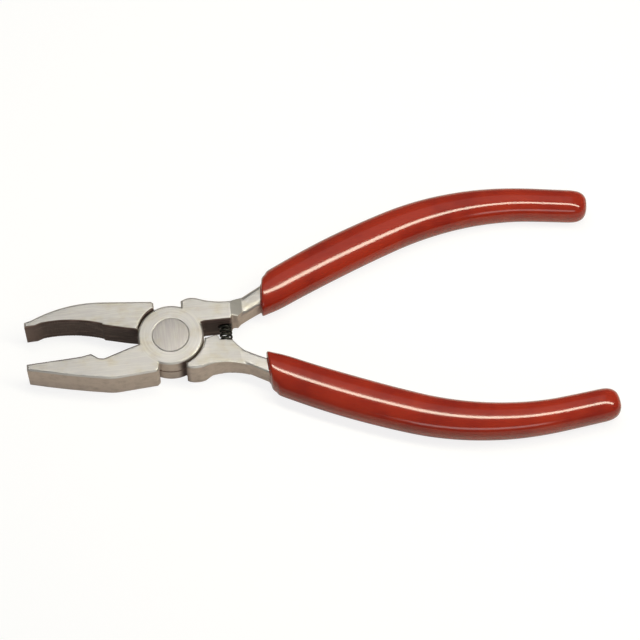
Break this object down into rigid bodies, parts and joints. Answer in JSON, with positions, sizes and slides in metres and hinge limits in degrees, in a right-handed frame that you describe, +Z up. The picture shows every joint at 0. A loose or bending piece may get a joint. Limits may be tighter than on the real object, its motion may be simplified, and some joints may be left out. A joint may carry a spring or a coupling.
{
  "type": "grozing pliers",
  "caption": "Lap-joint hand pliers with a flat jaw and a hollow curved jaw, both toothed, a return spring behind the rivet and curved dipped vinyl handles.",
  "frame": {"origin": "on the pivot axis, at the underside of the joint, which is the face the tool rests on", "axes": "+X from the pivot to the handles, midway between them; +Y to the flat jaw lever's handle; +Z up along the rivet, to the face with the full round boss"},
  "size_m": [0.1565, 0.0745, 0.0095],
  "materials": {
    "forged_steel": "satin ground faces, brown-grey forged sides, near-black scale on the bites and in the throat",
    "rivet_steel": "ground flush with the joint",
    "spring_steel": "dark oiled spring wire",
    "red_vinyl": "glossy dipped brick-red vinyl"
  },
  "bodies": {
    "curved_lever": {"curved_jaw_lever": "forged_steel", "curved_lever_grip": "red_vinyl", "pivot_rivet": "rivet_steel", "return_spring": "spring_steel"},
    "flat_lever": {"flat_jaw_lever": "forged_steel", "flat_lever_grip": "red_vinyl"}
  },
  "joints": [
    {"name": "jaw_pivot", "type": "hinge", "parent": "curved_lever", "child": "flat_lever", "pos_m": [0, 0, 0], "axis": [0, 0, 1], "range_deg": [-15.8, 12], "stiffness_Nm_per_rad": 0.95, "deforming": ["return_spring"]}
  ]
}
